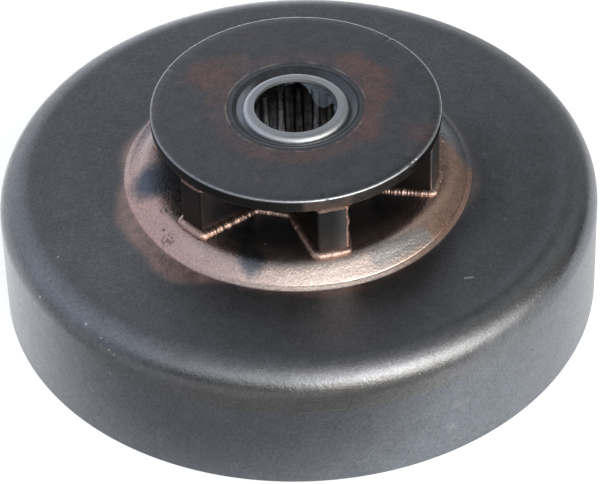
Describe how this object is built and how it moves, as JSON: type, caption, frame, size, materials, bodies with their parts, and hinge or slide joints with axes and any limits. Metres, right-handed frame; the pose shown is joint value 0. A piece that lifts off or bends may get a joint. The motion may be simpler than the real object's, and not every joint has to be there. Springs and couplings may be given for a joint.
{
  "type": "clutch drum",
  "caption": "Centrifugal clutch drum of a chain saw: drawn steel cup with a brazed spur sprocket, a flange disc over the teeth and a needle bearing in the hub.",
  "frame": {"origin": "centre of the open rim of the cup, on the surface that the drum stands on", "axes": "+Z along the shaft, from the open rim towards the sprocket; +X through the middle of the first tooth; the teeth follow every 60 degrees"},
  "size_m": [0.079, 0.079, 0.0295],
  "materials": {
    "cup_steel": "dark satin gun-metal skin of a furnace-brazed and tumbled pressing, with copper bloom on the boss",
    "sprocket_steel": "dark heat-treated steel, satin",
    "flange_steel": "dark satin steel with heat tint around the hub and a bright rim edge",
    "braze_copper": "bright rippled copper braze",
    "bearing_steel": "light satin drawn steel",
    "cage_steel": "dull pressed steel, oily",
    "roller_steel": "ground and polished"
  },
  "bodies": {
    "drum": {"clutch_cup": "cup_steel", "sprocket": "sprocket_steel", "flange_disc": "flange_steel", "lower_braze_bead": "braze_copper", "upper_braze_fillets": "braze_copper", "bearing_shell": "bearing_steel"},
    "cage": {"needle_cage": "cage_steel"},
    "roller_01": {"needle_01": "roller_steel"},
    "roller_02": {"needle_02": "roller_steel"},
    "roller_03": {"needle_03": "roller_steel"},
    "roller_04": {"needle_04": "roller_steel"},
    "roller_05": {"needle_05": "roller_steel"},
    "roller_06": {"needle_06": "roller_steel"},
    "roller_07": {"needle_07": "roller_steel"},
    "roller_08": {"needle_08": "roller_steel"},
    "roller_09": {"needle_09": "roller_steel"},
    "roller_10": {"needle_10": "roller_steel"},
    "roller_11": {"needle_11": "roller_steel"},
    "roller_12": {"needle_12": "roller_steel"},
    "roller_13": {"needle_13": "roller_steel"},
    "roller_14": {"needle_14": "roller_steel"}
  },
  "joints": [
    {"name": "cage_spin", "type": "hinge", "parent": "drum", "child": "cage", "pos_m": [0, 0, 0.0235], "axis": [0, 0, 1], "continuous": true},
    {"name": "roller_01_spin", "type": "hinge", "parent": "cage", "child": "roller_01", "pos_m": [0.00575, 0, 0.0235], "axis": [0, 0, 1], "continuous": true},
    {"name": "roller_02_spin", "type": "hinge", "parent": "cage", "child": "roller_02", "pos_m": [0.00518, 0.00249, 0.0235], "axis": [0, 0, 1], "continuous": true},
    {"name": "roller_03_spin", "type": "hinge", "parent": "cage", "child": "roller_03", "pos_m": [0.00359, 0.0045, 0.0235], "axis": [0, 0, 1], "continuous": true},
    {"name": "roller_04_spin", "type": "hinge", "parent": "cage", "child": "roller_04", "pos_m": [0.00128, 0.00561, 0.0235], "axis": [0, 0, 1], "continuous": true},
    {"name": "roller_05_spin", "type": "hinge", "parent": "cage", "child": "roller_05", "pos_m": [-0.00128, 0.00561, 0.0235], "axis": [0, 0, 1], "continuous": true},
    {"name": "roller_06_spin", "type": "hinge", "parent": "cage", "child": "roller_06", "pos_m": [-0.00359, 0.0045, 0.0235], "axis": [0, 0, 1], "continuous": true},
    {"name": "roller_07_spin", "type": "hinge", "parent": "cage", "child": "roller_07", "pos_m": [-0.00518, 0.00249, 0.0235], "axis": [0, 0, 1], "continuous": true},
    {"name": "roller_08_spin", "type": "hinge", "parent": "cage", "child": "roller_08", "pos_m": [-0.00575, 0, 0.0235], "axis": [0, 0, 1], "continuous": true},
    {"name": "roller_09_spin", "type": "hinge", "parent": "cage", "child": "roller_09", "pos_m": [-0.00518, -0.00249, 0.0235], "axis": [0, 0, 1], "continuous": true},
    {"name": "roller_10_spin", "type": "hinge", "parent": "cage", "child": "roller_10", "pos_m": [-0.00359, -0.0045, 0.0235], "axis": [0, 0, 1], "continuous": true},
    {"name": "roller_11_spin", "type": "hinge", "parent": "cage", "child": "roller_11", "pos_m": [-0.00128, -0.00561, 0.0235], "axis": [0, 0, 1], "continuous": true},
    {"name": "roller_12_spin", "type": "hinge", "parent": "cage", "child": "roller_12", "pos_m": [0.00128, -0.00561, 0.0235], "axis": [0, 0, 1], "continuous": true},
    {"name": "roller_13_spin", "type": "hinge", "parent": "cage", "child": "roller_13", "pos_m": [0.00359, -0.0045, 0.0235], "axis": [0, 0, 1], "continuous": true},
    {"name": "roller_14_spin", "type": "hinge", "parent": "cage", "child": "roller_14", "pos_m": [0.00518, -0.00249, 0.0235], "axis": [0, 0, 1], "continuous": true}
  ],
  "couplings": [
    {"joint": "roller_01_spin", "follows": "cage_spin", "ratio": -8.72},
    {"joint": "roller_02_spin", "follows": "cage_spin", "ratio": -8.72},
    {"joint": "roller_03_spin", "follows": "cage_spin", "ratio": -8.72},
    {"joint": "roller_04_spin", "follows": "cage_spin", "ratio": -8.72},
    {"joint": "roller_05_spin", "follows": "cage_spin", "ratio": -8.72},
    {"joint": "roller_06_spin", "follows": "cage_spin", "ratio": -8.72},
    {"joint": "roller_07_spin", "follows": "cage_spin", "ratio": -8.72},
    {"joint": "roller_08_spin", "follows": "cage_spin", "ratio": -8.72},
    {"joint": "roller_09_spin", "follows": "cage_spin", "ratio": -8.72},
    {"joint": "roller_10_spin", "follows": "cage_spin", "ratio": -8.72},
    {"joint": "roller_11_spin", "follows": "cage_spin", "ratio": -8.72},
    {"joint": "roller_12_spin", "follows": "cage_spin", "ratio": -8.72},
    {"joint": "roller_13_spin", "follows": "cage_spin", "ratio": -8.72},
    {"joint": "roller_14_spin", "follows": "cage_spin", "ratio": -8.72}
  ]
}
